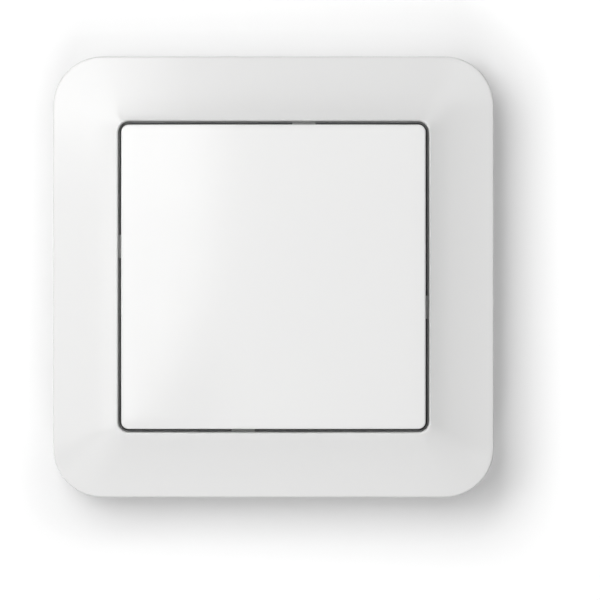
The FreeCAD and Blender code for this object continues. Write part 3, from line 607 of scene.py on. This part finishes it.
def addClip(bm, side):
    # an open ring on a web: the ring's section is spun round the axle, open towards the wall
    look = rockerLook
    middle = side * look["clipX"]
    near, far = middle - look["clipLength"] / 2, middle + look["clipLength"] / 2
    made = bmesh.ops.create_grid(bm, x_segments=1, y_segments=1, size=0.5)["verts"]
    for vert in made:
        x = near + (vert.co.x + 0.5) * (far - near)
        out = look["clipInner"] + (vert.co.y + 0.5) * (look["clipOuter"] - look["clipInner"])
        vert.co = place(x, look["pivotDepth"] - out, 0)
    start = math.radians(look["clipMouth"] / 2)
    centre = place(0, look["pivotDepth"], 0)
    bmesh.ops.rotate(bm, verts=made, cent=centre, matrix=Matrix.Rotation(start, 3, "X"))
    section = linked(made, "link_faces") + linked(made, "link_edges") + made
    bmesh.ops.spin(bm, geom=section, cent=centre, axis=(1, 0, 0),
                   angle=2 * math.pi - 2 * start, steps=look["clipSteps"])
    halfWeb = look["webThickness"] / 2
    addBlock(bm, (near, look["pivotDepth"] + look["clipInner"] + look["webGap"], -halfWeb),
             (far, look["edgeDepth"] - look["wall"] + look["crown"], halfWeb))


def makeRocker():
    bm = bmesh.new()
    sweepRings(bm, rockerRings(), False)
    addRockerDetails(bm)
    bmesh.ops.recalc_face_normals(bm, faces=bm.faces[:])
    finishPiece(bm, "rockerCap", "rocker", "glossWhiteRocker", "rocker")


makeRocker()
print("stage 4: rocker")

# the pieces behind the face: finish, slot, width of the eased edges
dressedNodes = {
    "wall_plate": ("satinPlateWhite", "plate_white", 0.25),
    "adhesive_pads": ("tapeFoam", "foam", 0.12),
    "rear_shell": ("texturedShell", "shell_grey", 0.18),
    "carrier_plate": ("texturedCarrier", "carrier_grey", 0.15),
    "key_plunger_top": ("acetalPlunger", "plunger_natural", 0.12),
    "key_plunger_bottom": ("acetalPlunger", "plunger_natural", 0.12),
    "contact_leaf_top": ("springBrass", "leaf_brass", 0.03),
    "contact_leaf_bottom": ("springBrass", "leaf_brass", 0.03),
    "circuit_board": ("solderMask", "board_green", 0.05),
    "coin_cell": ("nickelCan", "cell_steel", 0.3),
    "battery_positive_clip": ("nickelSheet", "contact_steel", 0.03),
    "battery_negative_spring": ("nickelSheet", "contact_steel", 0.03),
    "radio_chip": ("chipEpoxy", "chip_black", 0.05),
    "controller_chip": ("chipEpoxy", "chip_black", 0.05),
    "crystal": ("nickelCan", "cell_steel", 0.08),
    "storage_capacitor": ("capacitorEpoxy", "capacitor_ochre", 0.1),
    "chip_components": ("chipCeramic", "chip_tan", 0.06),
    "status_led": ("lampEpoxy", "led_white", 0.05),
    "sheet_antenna": ("nickelSheet", "contact_steel", 0.05),
    "pairing_switch_base": ("chipEpoxy", "chip_black", 0.06),
    "pairing_switch_cover": ("nickelSheet", "contact_steel", 0.05),
    "pairing_button": ("buttonGrey", "button_grey", 0.1),
}
dressLook = {"mergeWithin": 0.0005, "flatAngle": 1.0, "hardAngle": 40.0, "segments": 2}

# each contact leaf is kept out of the bodies, with its place baked into its mesh; the plunger and
# number given for it are not read
leafBends = {"contact_leaf_top": ("upper_plunger", 1), "contact_leaf_bottom": ("lower_plunger", -1)}


def dressNode(name, finish, slotName, ease):
    node = nodes[name]
    within = dressLook["mergeWithin"] * mm
    flat, hard = math.radians(dressLook["flatAngle"]), math.radians(dressLook["hardAngle"])
    bm = bmesh.new()
    bm.from_mesh(node.data)
    bmesh.ops.remove_doubles(bm, verts=bm.verts[:], dist=within)
    bmesh.ops.dissolve_limit(bm, angle_limit=flat, verts=bm.verts[:], edges=bm.edges[:])
    corners = [edge for edge in bm.edges if len(edge.link_faces) == 2
               and edge.calc_face_angle(0.0) > hard]
    bmesh.ops.bevel(bm, geom=corners, offset=ease * mm, segments=dressLook["segments"],
                    profile=0.5, affect="EDGES", clamp_overlap=True, material=-1)
    bmesh.ops.dissolve_degenerate(bm, dist=within, edges=bm.edges[:])
    body = None if name in leafBends else node.parent.name.split(":", 1)[1]
    piece = finishPiece(bm, name + "_dressed", name, finish, body)
    even = piece.modifiers.new("evenNormals", "WEIGHTED_NORMAL")  # keeps the flat faces flat
    even.keep_sharp = True
    if name in leafBends:
        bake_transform(piece)


for name, look in dressedNodes.items():
    dressNode(name, *look)
print("stage 5:", len(dressedNodes), "pieces behind the face")

# the room, in metres; its glow comes in between two distances from the switch's middle
roomLook = {
    "wallHalf": 0.6, "wallGap": 0.0002, "floorDepth": 1.6, "floorHeight": -0.14,
    "wallTint": (0.95, 0.95, 0.95, 1.0), "floorTint": (0.86, 0.86, 0.86, 1.0),
    "bounceTint": (0.3, 0.3, 0.3, 1.0), "wallGlow": 0.2, "floorGlow": 0.93,
    "glowStart": 0.043, "glowFull": 0.057, "glowRise": 0.002, "glowCorner": 7.0,
    "worldLevel": 0.12,
}


def addMixShader(tree, factor, first, second):
    mix = tree.nodes.new("ShaderNodeMixShader")
    tree.links.new(factor, mix.inputs["Fac"])
    for shader, socket in ((first, mix.inputs[1]), (second, mix.inputs[2])):
        if shader:
            tree.links.new(shader, socket)
    return mix.outputs["Shader"]


def addGlow(tree, glow):
    # painted light: a white glow that the camera alone sees, none behind the switch and just round
    # it, rising with the distance, so the wall round the switch stays darker than further out as
    # painted shade on top of its real shadow; the distance is a square one with rounded corners
    look = roomLook
    corner = look["glowCorner"]
    where = tree.nodes.new("ShaderNodeTexCoord")
    lower = tree.nodes.new("ShaderNodeVectorMath")
    lower.inputs[1].default_value = (0.0, 0.0, look["glowRise"])
    tree.links.new(where.outputs["Object"], lower.inputs[0])
    spread = tree.nodes.new("ShaderNodeVectorMath")
    spread.operation = "ABSOLUTE"
    tree.links.new(lower.outputs["Vector"], spread.inputs[0])
    parts = tree.nodes.new("ShaderNodeSeparateXYZ")
    tree.links.new(spread.outputs["Vector"], parts.inputs["Vector"])
    across, upright = (addMath(tree, "POWER", parts.outputs[axis], corner) for axis in "XZ")
    distance = addMath(tree, "POWER", addMath(tree, "ADD", across, upright), 1 / corner)
    span = (look["glowStart"], look["glowFull"])
    white = tree.nodes.new("ShaderNodeEmission")
    tree.links.new(addRange(tree, distance, span, 0.0, glow, "SMOOTHSTEP"),
                   white.inputs["Strength"])
    return white.outputs["Emission"]


def makeRoomFinish(name, tint, glow):
    # paint with a glow that only the camera sees, clear from its back
    finish = bpy.data.materials.new(name)
    finish.use_nodes = True
    tree = finish.node_tree
    tree.nodes.clear()
    path = tree.nodes.new("ShaderNodeLightPath").outputs
    paints = []
    for colour in (tint, roomLook["bounceTint"]):  # as shown, and as it lights the switch
        paint = tree.nodes.new("ShaderNodeBsdfDiffuse")
        paint.inputs["Color"].default_value = colour
        paints.append(paint.outputs["BSDF"])
    lift = tree.nodes.new("ShaderNodeAddShader")
    tree.links.new(addMixShader(tree, path["Is Diffuse Ray"], *paints), lift.inputs[0])
    shown = addMixShader(tree, path["Is Camera Ray"], None, addGlow(tree, glow))
    tree.links.new(shown, lift.inputs[1])
    side = tree.nodes.new("ShaderNodeNewGeometry").outputs["Backfacing"]
    clear = tree.nodes.new("ShaderNodeBsdfTransparent").outputs["BSDF"]
    output = tree.nodes.new("ShaderNodeOutputMaterial")
    tree.links.new(addMixShader(tree, side, lift.outputs["Shader"], clear),
                   output.inputs["Surface"])
    return finish


def makeSheetPlane(name, width, length, matrix, finish):
    bm = bmesh.new()
    bmesh.ops.create_grid(bm, x_segments=2, y_segments=2, size=0.5)
    bmesh.ops.scale(bm, vec=(width, length, 1.0), verts=bm.verts[:])
    bmesh.ops.transform(bm, matrix=matrix, verts=bm.verts[:])
    mesh = bpy.data.meshes.new(name)
    bm.to_mesh(mesh)
    bm.free()
    plane = bpy.data.objects.new(name, mesh)
    bpy.context.scene.collection.objects.link(plane)
    mesh.materials.append(finish)
    plane.visible_shadow = False
    return plane


def makeRoom():
    look = roomLook
    gap, floorHeight, floorDepth = look["wallGap"], look["floorHeight"], look["floorDepth"]
    wallTop = 2 * look["wallHalf"]
    facing = Matrix.Rotation(math.pi / 2, 4, "X")  # turns the plane's face from up to -y
    middle = Matrix.Translation((0, gap, (floorHeight + wallTop) / 2))
    paint = makeRoomFinish("wallPaint", look["wallTint"], look["wallGlow"])
    makeSheetPlane("wall", 2 * wallTop, wallTop - floorHeight, middle @ facing, paint)
    lay = Matrix.Translation((0, gap - floorDepth / 2, floorHeight))
    paint = makeRoomFinish("floorPaint", look["floorTint"], look["floorGlow"])
    floor = makeSheetPlane("floor", 2 * wallTop, floorDepth, lay, paint)
    floor.visible_diffuse = False


# place in metres, lens and sensor in millimetres
cameraLook = {"x": 0.0048, "y": -0.9, "z": -0.0042, "lens": 294.7, "sensor": 36.0}
# softboxes and cards half a metre in front of the wall: their edges, and their power in watts
cardPlane = 500.0
cardLooks = {
    "keyUpper": dict(left=-470.0, right=-37.0, bottom=245.0, top=450.0, power=1.089),
    "keyLower": dict(left=-470.0, right=-37.0, bottom=40.0, top=245.0, power=1.032),
    "keyTop": dict(left=-160.0, right=-37.0, bottom=450.0, top=620.0, power=0.19),
    "keyFill": dict(left=-470.0, right=-150.0, bottom=-60.0, top=40.0, power=0.124),
    "leftCard": dict(left=-760.0, right=-470.0, bottom=-250.0, top=350.0, power=1.16),
    "frontCard": dict(left=-37.0, right=45.0, bottom=-250.0, top=150.0, power=0.106),
    "rightCard": dict(left=45.0, right=260.0, bottom=-250.0, top=260.0, power=0.386),
    "highRightCard": dict(left=120.0, right=420.0, bottom=260.0, top=460.0, power=0.195),
    "farRightCard": dict(left=260.0, right=460.0, bottom=-60.0, top=260.0, power=0.075),
    "lowCard": dict(left=-250.0, right=300.0, bottom=-1100.0, top=-650.0, power=5.08),
}
# the key softbox is cut off at a slant below: strips whose right ends follow these points,
# sideways and up, with their power in watts per square millimetre
skirtLook = {
    "left": -150.0, "strips": 10, "power": 0.97e-5,
    "edge": ((-84.0, -96.0), (-72.0, -70.0), (-55.0, -46.0), (-38.0, -3.0), (-37.0, 40.0)),
}
# panels further away: azimuth from straight in front (minus is left) and elevation in degrees,
# distance, width and height in metres, power in watts
panelDistance = 2.0
panelLooks = {
    "leftPanel": dict(azimuth=-112.0, elevation=0.0, size=(0.6, 0.6), power=6.0),
    "rearPanel": dict(azimuth=172.0, elevation=24.0, size=(1.6, 1.6), power=25.0),
}


def makeCamera():
    data = bpy.data.cameras.new("viewer")
    data.sensor_width = cameraLook["sensor"]
    data.lens = cameraLook["lens"]
    viewer = bpy.data.objects.new("viewer", data)
    viewer.location = (cameraLook["x"], cameraLook["y"], cameraLook["z"])
    viewer.rotation_euler = (math.pi / 2, 0, 0)
    bpy.context.scene.collection.objects.link(viewer)
    bpy.context.scene.camera = viewer


def addLamp(name, spot, facing, size, power):
    data = bpy.data.lights.new(name, "AREA")
    data.shape = "RECTANGLE"
    data.size, data.size_y = size
    data.energy = power
    lamp = bpy.data.objects.new(name, data)
    lamp.location = spot
    lamp.rotation_euler = facing.to_track_quat("-Z", "Y").to_euler()
    lamp.visible_camera = False
    bpy.context.scene.collection.objects.link(lamp)


def addCard(name, left, right, bottom, top, power):
    middle = place((left + right) / 2, cardPlane, (bottom + top) / 2)
    addLamp(name, middle, Vector((0, 1, 0)), ((right - left) * mm, (top - bottom) * mm), power)


def skirtEdge(height):
    edge = skirtLook["edge"]
    for (sideLow, low), (sideHigh, high) in zip(edge, edge[1:]):
        if height <= high:
            return sideLow + (sideHigh - sideLow) * (height - low) / (high - low)
    return edge[-1][0]


def makeLamps():
    for name, look in cardLooks.items():
        addCard(name, **look)
    look = skirtLook
    foot = look["edge"][0][1]
    stripHeight = (look["edge"][-1][1] - foot) / look["strips"]
    for number in range(look["strips"]):
        bottom = foot + number * stripHeight
        right = skirtEdge(bottom + stripHeight / 2)
        power = look["power"] * (right - look["left"]) * stripHeight
        addCard(f"keyStrip{number}", look["left"], right, bottom, bottom + stripHeight, power)
    for name, look in panelLooks.items():
        azimuth, elevation = math.radians(look["azimuth"]), math.radians(look["elevation"])
        flat = math.cos(elevation)
        spot = Vector((math.sin(azimuth) * flat, -math.cos(azimuth) * flat, math.sin(elevation)))
        addLamp(name, spot * panelDistance, -spot, look["size"], look["power"])


def makeWorld():
    # even grey light all round, shown as white behind everything
    world = bpy.data.worlds.new("studio")
    bpy.context.scene.world = world
    world.use_nodes = True
    tree = world.node_tree
    tree.nodes.clear()
    path = tree.nodes.new("ShaderNodeLightPath")
    light = tree.nodes.new("ShaderNodeBackground")
    light.inputs["Strength"].default_value = roomLook["worldLevel"]
    shown = tree.nodes.new("ShaderNodeBackground")
    shown.inputs["Color"].default_value = (1.0, 1.0, 1.0, 1.0)
    pick = addMixShader(tree, path.outputs["Is Camera Ray"], light.outputs["Background"],
                        shown.outputs["Background"])
    output = tree.nodes.new("ShaderNodeOutputWorld")
    tree.links.new(pick, output.inputs["Surface"])


makeRoom()
makeCamera()
makeLamps()
makeWorld()
bpy.context.scene.view_settings.view_transform = "Standard"
print("stage 6: room, camera and lamps")
